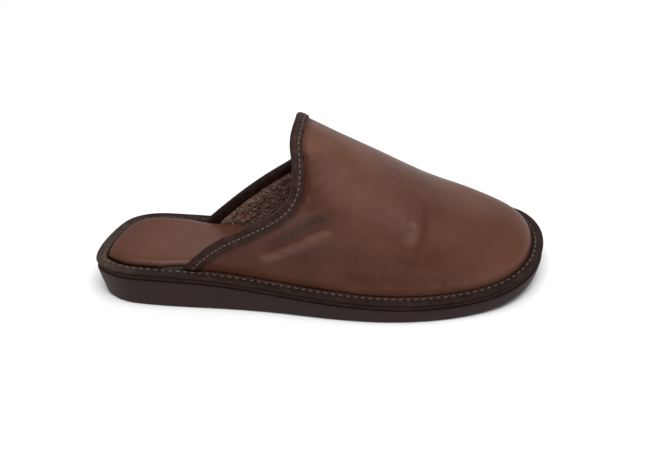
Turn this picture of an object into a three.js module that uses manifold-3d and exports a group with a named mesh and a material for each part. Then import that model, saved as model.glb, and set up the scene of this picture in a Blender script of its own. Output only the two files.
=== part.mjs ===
// A man's leather mule slipper for the right foot, empty and standing on its sole.
// Millimetres, +Z up, +X towards the toe, +Y towards the inner (medial) side of the foot.
// The origin is on the floor, under the middle of the slipper's box.
//
// The slipper is put together as a maker would do it: a moulded outsole, a covered platform on it,
// a stitched welt strip round the platform's rim, a padded insole, a hollow upper that is open at
// the back and underneath, and a binding folded over the upper's cut edge.

import * as THREE from "three";
import { mergeVertices } from "three/addons/utils/BufferGeometryUtils.js";
import Module from "manifold-3d";

const wasm = await Module();
wasm.setup();

// Driving dimensions of the last and the sole
const LENGTH = 289; // over the welt, heel to toe
const BALL_WIDTH = 109.4; // over the welt, at the ball of the foot
const HEEL_HEIGHT = 26; // floor to the top of the welt at the heel
const TOE_SPRING = 7.8; // lift of the outsole's underside at the toe tip
const ARCH_LIFT = 2.4; // lift of the outsole's underside at the waist, on the inner side
const INSTEP_RISE = 98; // top of the welt to the ridge of the upper, at the throat

// Pieces of the sole
const WELT_THICK = 2.2;
const WELT_WIDTH = 7; // flange from the upper's foot to the outer edge
const PLATFORM_THICK = 3.4;
const PLATFORM_STEP = 0.9; // the covered platform lies this far inside the welt and the outsole
const SIDE_DRAFT = 0.6; // how far the outsole's foot lies inside its top edge
const HEEL_UNDERCUT = 4.5; // further undercut at the back of the heel
const TOE_UNDERCUT = 1.2; // further undercut at the toe
const FOOT_ROUNDING = 1.4; // radius of the outsole's lower edge

// Insole
const INSOLE_GROOVE = 0.7; // gap between the welt and the insole
const RIM_DROP = 1; // the insole's rim lies this far under the top of the welt
const INSOLE_CROWN = 4.4; // padded rise of the insole over its rim
const INSOLE_SHOULDER = 5; // width over which the rise is made
const INSOLE_EDGE = WELT_WIDTH + INSOLE_GROOVE; // the insole's rim, from the outline
const INSOLE_LEDGE = 3; // flat ledge under the upper's foot
const LEDGE_FULL = { lateral: 0.185, medial: 0.23 }; // shares of LENGTH from where the ledge is full
const LEDGE_RUN = 0.03; // the ledge comes up over this share

// Upper and its binding
const UPPER_WALL = 2.4; // leather with its backing
const UPPER_SET_IN = 0.4; // the upper's foot stands this far inside the welt
const BINDING_THICK = 1.1;
const BINDING_OUTER = 5.6; // width of the binding outside, from the cut edge
const BINDING_INNER = 5; // width of the binding inside
const GAP = 0.3; // clearance between pieces that touch
const FOLD_EASE = 0.1; // the binding's legs clear the upper by this much more
const CUTTER_REACH = 0.12 * LENGTH; // cutting shapes reach this far past the sole

// Mesh fineness
const STATIONS = 40; // sections along the sole, on each side
const UPPER_LENGTH_STEPS = 26;
const COLLAR_STEPS = 48; // columns of the upper, and stations of the binding
const SAMPLES = 720; // fine samples along a curve

// Outline of the welt, seen from above: shares of LENGTH from the heel, and of BALL_WIDTH from the axis
const OUTLINE = [
  { at: 0.02, lateral: 0.167, medial: 0.122 },
  { at: 0.06, lateral: 0.234, medial: 0.288 },
  { at: 0.12, lateral: 0.272, medial: 0.342 },
  { at: 0.2, lateral: 0.307, medial: 0.32 },
  { at: 0.3, lateral: 0.345, medial: 0.3 },
  { at: 0.4, lateral: 0.398, medial: 0.308 },
  { at: 0.5, lateral: 0.461, medial: 0.346 },
  { at: 0.6, lateral: 0.507, medial: 0.42 },
  { at: 0.7, lateral: 0.52, medial: 0.48 },
  { at: 0.8, lateral: 0.493, medial: 0.478 },
  { at: 0.9, lateral: 0.413, medial: 0.418 },
  { at: 0.96, lateral: 0.28, medial: 0.315 },
];
const HEEL_TIP = -0.068; // shares of BALL_WIDTH, towards the inner side
const TOE_TIP = 0.034;

// Height of the welt's top along the sole, as shares of HEEL_HEIGHT
const SOLE_HEIGHT = [
  { at: 0, height: 0.985 },
  { at: 0.1, height: 1 },
  { at: 0.22, height: 0.975 },
  { at: 0.4, height: 0.775 },
  { at: 0.55, height: 0.65 },
  { at: 0.7, height: 0.587 },
  { at: 0.85, height: 0.645 },
  { at: 1, height: 0.875 },
];

// Ridge of the upper: its rise over the welt as a share of INSTEP_RISE, and its place across as a
// share of BALL_WIDTH. The toe end of both is shaped by TOE_ROUND.
const RIDGE = [
  { at: 0.15, rise: 1.36, across: 0.03 },
  { at: 0.21, rise: 1.285, across: 0.055 },
  { at: 0.345, rise: 1.13, across: 0.068 },
  { at: 0.45, rise: 0.988, across: 0.073 },
  { at: 0.55, rise: 0.83, across: 0.073 },
  { at: 0.655, rise: 0.641, across: 0.073 },
  { at: 0.76, rise: 0.451, across: 0.067 },
  { at: 0.86, rise: 0.305, across: 0.05 },
  { at: 1, rise: 0.17, across: 0.034 },
];
const TOE_ROUND = { from: 0.8, power: 2.4, root: 2 };

// Shape of the upper's cross-sections: exponents under 1 are fuller than an ellipse, and the walls
// bulge over the sole by shares of BALL_WIDTH
const SECTIONS = [
  { at: 0.2, across: 1, up: 1, lateralBulge: 0.02, medialBulge: 0.045 },
  { at: 0.45, across: 0.95, up: 0.92, lateralBulge: 0.022, medialBulge: 0.055 },
  { at: 0.7, across: 0.9, up: 0.95, lateralBulge: 0.012, medialBulge: 0.022 },
  { at: 0.96, across: 0.85, up: 0.9, lateralBulge: 0, medialBulge: 0 },
];

// The upper's cut edge: round is 0 at the outer foot, 0.5 on the ridge and 1 at the inner foot, and
// at is the share of LENGTH from the heel
const COLLAR = [
  { round: -0.05, at: 0.147 },
  { round: 0, at: 0.2 },
  { round: 0.05, at: 0.261 },
  { round: 0.1, at: 0.342 },
  { round: 0.15, at: 0.402 },
  { round: 0.18, at: 0.425 },
  { round: 0.21, at: 0.438 },
  { round: 0.25, at: 0.445 },
  { round: 0.3, at: 0.446 },
  { round: 0.36, at: 0.443 },
  { round: 0.42, at: 0.449 },
  { round: 0.5, at: 0.459 },
  { round: 0.6, at: 0.46 },
  { round: 0.72, at: 0.463 },
  { round: 0.8, at: 0.459 },
  { round: 0.84, at: 0.444 },
  { round: 0.87, at: 0.411 },
  { round: 0.9, at: 0.373 },
  { round: 0.93, at: 0.334 },
  { round: 0.96, at: 0.294 },
  { round: 1, at: 0.241 },
  { round: 1.05, at: 0.19 },
];

// A smooth curve through a table's rows. With a period the curve closes on itself.
function smooth(knots, values, period = 0) {
  const n = knots.length;
  const knot = (i) => (period ? knots[((i % n) + n) % n] + Math.floor(i / n) * period : knots[i]);
  const value = (i) => (period ? values[((i % n) + n) % n] : values[i]);
  const slope = (i) => (value(i + 1) - value(i)) / (knot(i + 1) - knot(i));
  function tangent(i) {
    if (!period && i === 0) return slope(0);
    if (!period && i === n - 1) return slope(n - 2);
    const before = knot(i) - knot(i - 1);
    const after = knot(i + 1) - knot(i);
    return (slope(i - 1) * after + slope(i) * before) / (before + after);
  }
  return (x) => {
    if (period) x = knots[0] + ((((x - knots[0]) % period) + period) % period);
    let i = 0;
    while (i < n - (period ? 1 : 2) && x > knot(i + 1)) i++;
    const h = knot(i + 1) - knot(i);
    const t = period ? (x - knot(i)) / h : THREE.MathUtils.clamp((x - knot(i)) / h, 0, 1);
    const t2 = t * t;
    const t3 = t2 * t;
    return (
      value(i) * (2 * t3 - 3 * t2 + 1) +
      value(i + 1) * (3 * t2 - 2 * t3) +
      tangent(i) * h * (t3 - 2 * t2 + t) +
      tangent(i + 1) * h * (t3 - t2)
    );
  };
}

const alongLength = (table, column, unit) =>
  smooth(
    table.map((row) => row.at * LENGTH),
    table.map((row) => row[column] * unit),
  );

// The welt's outline as one closed function of an angle: 0 at the heel, a half turn at the toe, the
// outer (lateral) side between them and the inner side after it
const turnOf = (share) => Math.acos(1 - 2 * share);
const across = smooth(
  [
    0,
    ...OUTLINE.map((row) => turnOf(row.at)),
    Math.PI,
    ...OUTLINE.map((row) => 2 * Math.PI - turnOf(row.at)).reverse(),
  ],
  [
    HEEL_TIP * BALL_WIDTH,
    ...OUTLINE.map((row) => -row.lateral * BALL_WIDTH),
    TOE_TIP * BALL_WIDTH,
    ...OUTLINE.map((row) => row.medial * BALL_WIDTH).reverse(),
  ],
  2 * Math.PI,
);
const outline = (turn) => new THREE.Vector2((LENGTH / 2) * (1 - Math.cos(turn)), across(turn));

// A point set in from the outline. The direction is evened out over a stretch that grows with the
// distance, so that no ring folds over at the heel's tightest corner.
function inset(turn, distance, evenedAt = distance) {
  const stretch = 0.05 + 0.03 * Math.abs(evenedAt);
  const along = outline(turn + stretch).sub(outline(turn - stretch)).normalize();
  return outline(turn).add(new THREE.Vector2(-along.y, along.x).multiplyScalar(distance));
}

// How far the outline faces the toe (1) or the back of the heel (-1)
function facing(turn) {
  return outline(turn).x - inset(turn, 1).x;
}

// Heights along the sole
const weltTop = alongLength(SOLE_HEIGHT, "height", HEEL_HEIGHT);
const platformTop = (x) => weltTop(x) - WELT_THICK - GAP;
const outsoleTop = (x) => platformTop(x) - PLATFORM_THICK - GAP;
const rimTop = (x) => weltTop(x) - RIM_DROP;

// The underside is flat at the heel and at the ball, and lifts at the waist and the toe
const HEEL_FLAT_END = 0.28 * LENGTH;
const BALL_FLAT_START = 0.56 * LENGTH;
const BALL_FLAT_END = 0.74 * LENGTH;
function underside(x, turn) {
  if (x > BALL_FLAT_END) {
    return TOE_SPRING * ((x - BALL_FLAT_END) / (LENGTH - BALL_FLAT_END)) ** 2;
  }
  if (x > HEEL_FLAT_END && x < BALL_FLAT_START) {
    const share = (x - HEEL_FLAT_END) / (BALL_FLAT_START - HEEL_FLAT_END);
    const lift = turn > Math.PI ? ARCH_LIFT : 0.1 * ARCH_LIFT;
    return lift * Math.sin(Math.PI * share) ** 2;
  }
  return 0;
}

const turns = Array.from({ length: 2 * STATIONS }, (_, i) => (Math.PI * i) / STATIONS);

// One ring of points round the sole, set in from the outline by a distance, at a height. The
// distance may depend on the turn, and the height on x and the turn.
function ring(distance, height) {
  return turns.map((turn) => {
    const at = inset(turn, typeof distance === "function" ? distance(turn) : distance);
    return new THREE.Vector3(at.x, at.y, height(at.x, turn));
  });
}

function geometryOf(points, triangles) {
  const geometry = new THREE.BufferGeometry();
  geometry.setAttribute(
    "position",
    new THREE.Float32BufferAttribute(points.flatMap((p) => [p.x, p.y, p.z]), 3),
  );
  geometry.setIndex(triangles.flat());
  return geometry;
}

// A closed body from rings stacked from the bottom to the top, capped across from side to side
function stack(rings) {
  const count = turns.length;
  const points = rings.flat();
  const triangles = [];
  for (let r = 0; r + 1 < rings.length; r++) {
    for (let i = 0; i < count; i++) {
      const a = r * count + i;
      const b = r * count + ((i + 1) % count);
      triangles.push([a, b, b + count], [a, b + count, a + count]);
    }
  }
  const top = (rings.length - 1) * count;
  for (let i = 0; i < STATIONS; i++) {
    const here = i;
    const next = i + 1;
    const farHere = (count - i) % count;
    const farNext = count - i - 1;
    if (i > 0) {
      triangles.push([farHere, next, here], [top + farHere, top + here, top + next]);
    }
    if (i < STATIONS - 1) {
      triangles.push([farHere, farNext, next], [top + farHere, top + next, top + farNext]);
    }
  }
  return geometryOf(points, triangles);
}

// A closed band from rings that go round a section, the last joined to the first
function hoop(rings) {
  const count = turns.length;
  const triangles = [];
  for (let r = 0; r < rings.length; r++) {
    const up = ((r + 1) % rings.length) * count;
    for (let i = 0; i < count; i++) {
      const next = (i + 1) % count;
      triangles.push(
        [r * count + i, r * count + next, up + next],
        [r * count + i, up + next, up + i],
      );
    }
  }
  return geometryOf(rings.flat(), triangles);
}

// Moulded outsole: thick under the heel, thin at the ball, with a draft that grows at heel and toe
function outsole() {
  const draft = (turn) => {
    const front = facing(turn);
    return SIDE_DRAFT + (front < 0 ? HEEL_UNDERCUT * front ** 2 : TOE_UNDERCUT * front ** 2);
  };
  const above = (height) => (x, turn) => underside(x, turn) + height;
  const middle = (x, turn) => THREE.MathUtils.lerp(underside(x, turn), outsoleTop(x), 0.55);
  return stack([
    ring((turn) => draft(turn) + FOOT_ROUNDING, underside),
    ring((turn) => draft(turn) + 0.3 * FOOT_ROUNDING, above(0.3 * FOOT_ROUNDING)),
    ring(draft, above(FOOT_ROUNDING)),
    ring((turn) => 0.45 * draft(turn), middle),
    ring(0.15, (x) => outsoleTop(x) - 0.6),
    ring(0.5, outsoleTop),
  ]);
}

// Platform in its cover: its side is the narrow band that stands back between welt and outsole
function platform() {
  const bottom = (x) => outsoleTop(x) + GAP;
  return stack([
    ring(PLATFORM_STEP + 0.4, bottom),
    ring(PLATFORM_STEP, (x) => bottom(x) + 0.2 * PLATFORM_THICK),
    ring(PLATFORM_STEP, (x) => bottom(x) + 0.7 * PLATFORM_THICK),
    ring(PLATFORM_STEP + 0.5, platformTop),
  ]);
}

// Welt strip: a flange with a rolled outer edge and a shallow dip where its seam lies
function welt() {
  const foot = (x) => platformTop(x) + GAP;
  const level = (share) => (x) => foot(x) + share * WELT_THICK;
  const section = [
    { in: 0.7, up: 0 },
    { in: 0.1, up: 0.25 },
    { in: 0, up: 0.55 },
    { in: 0.35, up: 0.85 },
    { in: 1.3, up: 1 },
    { in: 0.6 * WELT_WIDTH, up: 1 },
    { in: 0.75 * WELT_WIDTH, up: 0.86 },
    { in: 0.9 * WELT_WIDTH, up: 0.92 },
    { in: WELT_WIDTH, up: 0.75 },
    { in: WELT_WIDTH, up: 0 },
  ];
  return hoop(section.map((row) => ring(row.in, level(row.up))));
}

// Rings of the insole's padded crown, or of one that is larger by grow. Forward of the heel the
// crown leaves a flat ledge outside it, which the upper's foot stands on.
function crown(grow) {
  const profile = [
    { inwards: 0, up: 0 },
    { inwards: 0.08, up: 0.42 },
    { inwards: 0.35, up: 0.82 },
    { inwards: 1, up: 1 },
  ];
  const ledge = (turn) => {
    const full = (turn < Math.PI ? LEDGE_FULL.lateral : LEDGE_FULL.medial) * LENGTH;
    const from = full - LEDGE_RUN * LENGTH;
    return INSOLE_LEDGE * THREE.MathUtils.smoothstep(outline(turn).x, from, full);
  };
  return profile.map((row) =>
    ring(
      (turn) => INSOLE_EDGE + 0.3 + ledge(turn) + row.inwards * INSOLE_SHOULDER - grow,
      (x) => rimTop(x) + row.up * INSOLE_CROWN + grow,
    ),
  );
}

// Padded insole: its rim lies in the groove inside the welt, and its top rises to a soft crown
function insole() {
  return stack([
    ring(INSOLE_EDGE, (x) => platformTop(x) + GAP),
    ring(INSOLE_EDGE, rimTop),
    ...crown(0),
  ]);
}

// The foot line of the upper's face at a depth in its wall, as y over x on each side
const UPPER_FOOT = WELT_WIDTH + UPPER_SET_IN;
function footLine(depth) {
  const sample = (from, to) =>
    Array.from({ length: SAMPLES + 1 }, (_, i) =>
      inset(THREE.MathUtils.lerp(from, to, i / SAMPLES), UPPER_FOOT + depth, UPPER_FOOT),
    );
  const read = (side) => (x) => {
    let low = 0;
    let high = side.length - 1;
    while (high - low > 1) {
      const middle = (low + high) >> 1;
      if (side[middle].x > x) high = middle;
      else low = middle;
    }
    const share = (x - side[low].x) / (side[high].x - side[low].x || 1);
    return THREE.MathUtils.lerp(side[low].y, side[high].y, THREE.MathUtils.clamp(share, 0, 1));
  };
  const lateral = sample(0, Math.PI);
  const medial = sample(2 * Math.PI, Math.PI);
  return { lateral: read(lateral), medial: read(medial), tip: lateral[SAMPLES] };
}

const ridgeRise = alongLength(RIDGE, "rise", INSTEP_RISE);
const ridgeAcross = alongLength(RIDGE, "across", BALL_WIDTH);
const fullAcross = alongLength(SECTIONS, "across", 1);
const fullUp = alongLength(SECTIONS, "up", 1);
const lateralBulge = alongLength(SECTIONS, "lateralBulge", BALL_WIDTH);
const medialBulge = alongLength(SECTIONS, "medialBulge", BALL_WIDTH);

// A face of the upper, set in by depth from its outside: a point for each x and each share round the
// section. Beyond its foot the face goes on straight down.
function upperFace(depth) {
  const foot = footLine(depth);
  const toeStart = TOE_ROUND.from * LENGTH;
  function at(x, round) {
    x = Math.min(x, foot.tip.x);
    const toe = THREE.MathUtils.clamp((x - toeStart) / (foot.tip.x - toeStart), 0, 1);
    const left = foot.lateral(x);
    const right = foot.medial(x);
    const towardsTip = THREE.MathUtils.lerp(ridgeAcross(x), foot.tip.y, toe * toe);
    const ridge = THREE.MathUtils.clamp(towardsTip, left, right);
    const closing = Math.max(0, 1 - toe ** TOE_ROUND.power) ** (1 / TOE_ROUND.root);
    const rise = (ridgeRise(x) - depth) * closing;
    const angle = Math.PI * THREE.MathUtils.clamp(round, 0, 1);
    const cos = Math.abs(Math.cos(angle));
    const sin = Math.sin(angle);
    const outer = round < 0.5;
    const half = outer ? ridge - left : right - ridge;
    const bulge = outer ? lateralBulge(x) : medialBulge(x);
    const out = half * cos ** fullAcross(x) + 2 * bulge * closing * cos * sin;
    const beyond = Math.max(0, -round, round - 1) * Math.PI * rise;
    const z = rimTop(x) + GAP + rise * sin ** fullUp(x) - beyond;
    return new THREE.Vector3(x, outer ? ridge - out : ridge + out, z);
  }
  return { at, tip: foot.tip.x };
}

const outerFace = upperFace(0);
const innerFace = upperFace(UPPER_WALL);
const collarAt = smooth(
  COLLAR.map((row) => row.round),
  COLLAR.map((row) => row.at * LENGTH),
);
const collarPoint = (round) => outerFace.at(collarAt(round), round);

// Shares round the section that divide the cut edge into steps of one length
function evenRounds(from, to, steps) {
  const rounds = [];
  const lengths = [0];
  for (let i = 0; i <= SAMPLES; i++) {
    rounds.push(THREE.MathUtils.lerp(from, to, i / SAMPLES));
    if (i) lengths.push(lengths[i - 1] + collarPoint(rounds[i]).distanceTo(collarPoint(rounds[i - 1])));
  }
  const roundAt = smooth(lengths, rounds);
  return Array.from({ length: steps + 1 }, (_, i) => roundAt((lengths[SAMPLES] * i) / steps));
}
const collarRounds = evenRounds(0, 1, COLLAR_STEPS);

// Hollow upper: its outer and inner faces run from the cut edge to the toe, where each closes in a
// point, and strips close the wall along the cut edge and along its foot
function upper() {
  const columns = COLLAR_STEPS + 1;
  const pointsOf = (face) => {
    const points = [];
    for (let i = 0; i < UPPER_LENGTH_STEPS; i++) {
      const share = 1 - (1 - (i / UPPER_LENGTH_STEPS) ** 1.25) ** 1.7;
      for (const round of collarRounds) {
        points.push(face.at(THREE.MathUtils.lerp(collarAt(round), face.tip, share), round));
      }
    }
    points.push(face.at(face.tip, 0.5));
    return points;
  };
  const outer = pointsOf(outerFace);
  const inner = pointsOf(innerFace);
  const shift = outer.length;
  const tip = shift - 1;
  const triangles = [];
  const bothFaces = (a, b, c) => triangles.push([a, b, c], [c + shift, b + shift, a + shift]);
  const strip = (a, b) => triangles.push([a, b, b + shift], [a, b + shift, a + shift]);
  for (let i = 0; i < UPPER_LENGTH_STEPS; i++) {
    const row = i * columns;
    const last = i === UPPER_LENGTH_STEPS - 1;
    for (let j = 0; j < COLLAR_STEPS; j++) {
      const a = row + j;
      if (last) {
        bothFaces(a, tip, a + 1);
      } else {
        bothFaces(a, a + columns, a + columns + 1);
        bothFaces(a, a + columns + 1, a + 1);
      }
      if (i === 0) strip(a, a + 1);
    }
    strip(last ? tip : row + columns, row);
    strip(row + COLLAR_STEPS, last ? tip : row + columns + COLLAR_STEPS);
  }
  return geometryOf([...outer, ...inner], triangles);
}

// The binding's section across the cut edge: a U whose legs lie along the upper's two faces. away is
// the way from the cut edge into the upper, and out is the height over the upper's outer face.
function bindingSection() {
  const clear = GAP + FOLD_EASE;
  const outside = clear + BINDING_THICK;
  const inside = -UPPER_WALL - clear;
  const lining = inside - BINDING_THICK;
  const nose = GAP + BINDING_THICK + 0.6;
  return [
    { away: BINDING_OUTER, out: clear },
    { away: BINDING_OUTER, out: outside - 0.3 },
    { away: 0.85 * BINDING_OUTER, out: outside },
    { away: 0.45 * BINDING_OUTER, out: outside },
    { away: 0.3, out: outside + 0.1 },
    { away: -0.7 * nose, out: outside - 0.8 },
    { away: -nose, out: -UPPER_WALL / 2 },
    { away: -0.7 * nose, out: lining + 0.8 },
    { away: 0.3, out: lining },
    { away: BINDING_INNER, out: lining },
    { away: BINDING_INNER, out: inside },
    { away: 0.3, out: inside },
    { away: -GAP, out: inside },
    { away: -GAP - 0.2, out: -UPPER_WALL / 2 },
    { away: -GAP, out: clear },
    { away: 0.3, out: clear },
  ];
}

// One station of the binding, at a share round the cut edge. Each leg follows the upper's outer
// face, square to the edge.
function bindingStation(round) {
  const step = 1e-3;
  const x = collarAt(round);
  const face = (dx, dr) => outerFace.at(x + dx, round + dr);
  const lengthwise = face(0.5, 0).sub(face(-0.5, 0));
  const roundwise = face(0, step).sub(face(0, -step)).divideScalar(2 * step);
  const tangent = collarPoint(round + step).sub(collarPoint(round - step)).normalize();
  const away = tangent.cross(lengthwise.clone().cross(roundwise).normalize());
  const skew = lengthwise.dot(roundwise);
  const det = lengthwise.lengthSq() * roundwise.lengthSq() - skew * skew;
  const alongX = away.dot(lengthwise);
  const alongRound = away.dot(roundwise);
  const perX = (alongX * roundwise.lengthSq() - alongRound * skew) / det;
  const perRound = (alongRound * lengthwise.lengthSq() - alongX * skew) / det;
  return bindingSection().map((row) => {
    const dx = perX * row.away;
    const dr = perRound * row.away;
    const side = face(dx + 0.5, dr).sub(face(dx - 0.5, dr));
    const turn = face(dx, dr + step).sub(face(dx, dr - step));
    return face(dx, dr).addScaledVector(side.cross(turn).normalize(), row.out);
  });
}

// Binding folded over the cut edge. Its ends are cut clear of the insole and the welt.
function binding() {
  const stations = [-0.025, -0.01, ...collarRounds, 1.01, 1.025].map(bindingStation);
  const size = stations[0].length;
  const triangles = [];
  for (let s = 0; s + 1 < stations.length; s++) {
    for (let i = 0; i < size; i++) {
      const a = s * size + i;
      const b = s * size + ((i + 1) % size);
      triangles.push([a, b + size, b], [a, a + size, b + size]);
    }
  }
  const shape = bindingSection().map((row) => new THREE.Vector2(row.away, row.out));
  const last = (stations.length - 1) * size;
  for (const [a, b, c] of THREE.ShapeUtils.triangulateShape(shape, [])) {
    triangles.push([a, b, c], [last + a, last + c, last + b]);
  }
  const low = (x) => weltTop(x) - CUTTER_REACH;
  const high = (x) => weltTop(x) + GAP;
  const ledge = (x) => rimTop(x) + GAP;
  const insoleSpace = solidOf(
    stack([ring(-CUTTER_REACH, low), ring(-CUTTER_REACH, ledge), ...crown(GAP)]),
  );
  const weltInner = WELT_WIDTH + GAP;
  const weltSpace = solidOf(
    hoop([
      ring(-CUTTER_REACH, low),
      ring(-CUTTER_REACH, high),
      ring(weltInner, high),
      ring(weltInner, low),
    ]),
  );
  const folded = solidOf(geometryOf(stations.flat(), triangles));
  return geometryFrom(folded.subtract(insoleSpace).subtract(weltSpace));
}

// A solid for cutting, from a closed geometry
function solidOf(geometry) {
  const merged = mergeVertices(geometry, 1e-4);
  return new wasm.Manifold(
    new wasm.Mesh({
      numProp: 3,
      vertProperties: merged.attributes.position.array,
      triVerts: new Uint32Array(merged.index.array),
    }),
  );
}

function geometryFrom(solid) {
  const mesh = solid.getMesh();
  const geometry = new THREE.BufferGeometry();
  geometry.setAttribute("position", new THREE.BufferAttribute(mesh.vertProperties, 3));
  geometry.setIndex(new THREE.BufferAttribute(mesh.triVerts, 1));
  return geometry;
}

const leather = { color: 0x5d3a2c, roughness: 0.5, metalness: 0 };
const darkLeather = { color: 0x2f211d, roughness: 0.7, metalness: 0 };
const rubber = { color: 0x332a29, roughness: 0.55, metalness: 0 };

const slipper = new THREE.Group();

function piece(name, geometry, finish) {
  const mesh = new THREE.Mesh(geometry, new THREE.MeshStandardMaterial(finish));
  mesh.name = name;
  slipper.add(mesh);
}

piece("outsole", outsole(), rubber);
piece("platform", platform(), darkLeather);
piece("welt", welt(), darkLeather);
piece("insole", insole(), leather);
piece("upper", upper(), leather);
piece("collar_binding", binding(), darkLeather);

// The origin goes under the middle of the welt's outline
const rim = turns.map((turn) => outline(turn).y);
slipper.position.set(-LENGTH / 2, -(Math.min(...rim) + Math.max(...rim)) / 2, 0);

export default slipper;
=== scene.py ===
"""Looks of a man's leather mule slipper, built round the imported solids. Metres, floor at z = 0."""

import math

import bmesh
import bpy
import numpy as np
from mathutils import Matrix, Vector, noise
from mathutils.bvhtree import BVHTree
from mathutils.kdtree import KDTree


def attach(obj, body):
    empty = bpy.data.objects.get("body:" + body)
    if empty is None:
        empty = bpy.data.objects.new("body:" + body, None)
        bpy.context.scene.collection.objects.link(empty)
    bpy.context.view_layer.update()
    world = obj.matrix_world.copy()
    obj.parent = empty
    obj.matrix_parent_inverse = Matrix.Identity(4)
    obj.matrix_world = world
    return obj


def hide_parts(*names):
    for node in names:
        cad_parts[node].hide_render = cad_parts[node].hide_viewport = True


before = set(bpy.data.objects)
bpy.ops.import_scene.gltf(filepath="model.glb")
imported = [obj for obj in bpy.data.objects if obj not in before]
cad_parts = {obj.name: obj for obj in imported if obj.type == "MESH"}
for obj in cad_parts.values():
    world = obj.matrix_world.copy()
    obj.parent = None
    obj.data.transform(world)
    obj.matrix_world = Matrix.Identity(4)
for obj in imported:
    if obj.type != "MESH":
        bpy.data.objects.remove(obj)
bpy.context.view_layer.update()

# Outsole: one moulding of dark brown rubber, thick under the heel and thin at the ball. It is cast
# in a polished mould with a fine ribbed tread, and its side is semi-matt with a little dust.
WELD_DISTANCE = 2e-6
CAP_EDGE = 0.014  # a flat face with a longer edge is a cap
CAP_INSETS = (0.0012, 0.006)  # rings inside a cap, which keep its rim crisp when it is subdivided


def welded_copy(node, name):
    """The solid as a new object: welded, its triangles joined to quads, caps inset, subdivided."""
    solid = bmesh.new()
    solid.from_mesh(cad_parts[node].data)
    bmesh.ops.remove_doubles(solid, verts=solid.verts, dist=WELD_DISTANCE)
    bmesh.ops.join_triangles(
        solid,
        faces=solid.faces,
        angle_face_threshold=math.radians(50),
        angle_shape_threshold=math.radians(70),
    )
    solid.normal_update()
    for depth in CAP_INSETS:
        caps = [
            face
            for face in solid.faces
            if abs(face.normal.z) > 0.85 and max(e.calc_length() for e in face.edges) > CAP_EDGE
        ]
        if caps:
            bmesh.ops.inset_region(solid, faces=caps, thickness=depth, use_even_offset=True)
    mesh = bpy.data.meshes.new(name)
    solid.to_mesh(mesh)
    solid.free()
    rough = placed(name, mesh)
    rounding = rough.modifiers.new("rounding", "SUBSURF")
    rounding.levels = rounding.render_levels = 2
    return plain_mesh(rough, name)


def placed(name, data):
    """A new object of a mesh, light or camera, in the scene."""
    made = bpy.data.objects.new(name, data)
    bpy.context.scene.collection.objects.link(made)
    return made


def plain_mesh(source, name):
    """Replaces an object with modifiers by a plain smooth mesh of its result."""
    view = bpy.context.evaluated_depsgraph_get()
    mesh = bpy.data.meshes.new_from_object(source.evaluated_get(view), depsgraph=view)
    bpy.data.objects.remove(source)
    mesh.name = name
    mesh.polygons.foreach_set("use_smooth", [True] * len(mesh.polygons))
    return placed(name, mesh)


def linear(code):
    """An sRGB hex colour as linear RGBA."""
    shares = [int(code[i : i + 2], 16) / 255 for i in (1, 3, 5)]
    return [s / 12.92 if s <= 0.04045 else ((s + 0.055) / 1.055) ** 2.4 for s in shares] + [1]


def add(tree, kind, settings=None, links=None):
    """Adds a node. settings are its properties and free inputs, links the sources of the others."""
    made = tree.nodes.new(kind)
    for name, value in (settings or {}).items():
        if name == "stops":
            ramp = made.color_ramp
            while len(ramp.elements) < len(value):
                ramp.elements.new(0.5)
            for element, (place, colour) in zip(ramp.elements, value):
                element.position = place
                element.color = linear(colour) if isinstance(colour, str) else (colour,) * 3 + (1,)
        elif isinstance(name, str) and hasattr(made, name):
            setattr(made, name, value)
        else:
            made.inputs[name].default_value = value
    for name, source in (links or {}).items():
        tree.links.new(source, made.inputs[name])
    return made


def new_material(name):
    """A material with an empty tree, its output node, and object coordinates in metres."""
    material = bpy.data.materials.new(name)
    material.use_nodes = True
    material.node_tree.nodes.clear()
    output = add(material.node_tree, "ShaderNodeOutputMaterial")
    place = add(material.node_tree, "ShaderNodeTexCoord").outputs["Object"]
    return material, material.node_tree, output, place


def dress(piece, material, node):
    """Gives a finished piece its material, hides the solid that it stands for, and hangs it under the
    root.
    """
    piece.data.materials.clear()
    piece.data.materials.append(material)
    if node:
        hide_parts(node)
    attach(piece, "root")


# Moulded rubber: brown-black, IOR 1.52, satin where the mould was smooth. Dust makes it paler in
# patches, painted light makes it greyer at the heel's end, and ribs about 5 mm apart cross its
# underside.
rubber, tree, output, place = new_material("moulded_rubber")
patches = add(tree, "ShaderNodeTexNoise", {"Scale": 45, "Detail": 5}, {"Vector": place})
tone = add(
    tree,
    "ShaderNodeValToRGB",
    {"stops": [(0.3, "#231311"), (0.55, "#291715"), (0.75, "#33211d")]},
    {"Fac": patches.outputs["Fac"]},
)
pits = add(tree, "ShaderNodeTexNoise", {"Scale": 1400, "Detail": 3}, {"Vector": place})
shine = add(
    tree,
    "ShaderNodeMapRange",
    {"From Min": 0.35, "From Max": 0.7, "To Min": 0.46, "To Max": 0.66},
    {"Value": patches.outputs["Fac"]},
)
along = add(tree, "ShaderNodeSeparateXYZ", links={"Vector": place})
# Painted light: the heel's end is made paler and greyer, as if lit from that side
heel_end_light = add(
    tree,
    "ShaderNodeMapRange",
    {"From Min": -0.122, "From Max": -0.143, "To Max": 0.55},
    {"Value": along.outputs["X"]},
)
heel_lit_rubber = add(
    tree,
    "ShaderNodeMix",
    {"data_type": "RGBA", 7: linear("#41332a")},
    {0: heel_end_light.outputs["Result"], 6: tone.outputs["Color"]},
)
ribs = add(
    tree,
    "ShaderNodeTexWave",
    {"Scale": 65, "Distortion": 3.0, "Detail": 0, "Detail Scale": 60, "bands_direction": "X"},
    {"Vector": place},
)
facing = add(tree, "ShaderNodeNewGeometry")
down = add(tree, "ShaderNodeSeparateXYZ", links={"Vector": facing.outputs["True Normal"]})
under = add(
    tree,
    "ShaderNodeMapRange",
    {"From Min": -0.9, "From Max": -0.98},
    {"Value": down.outputs["Z"]},
)
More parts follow.
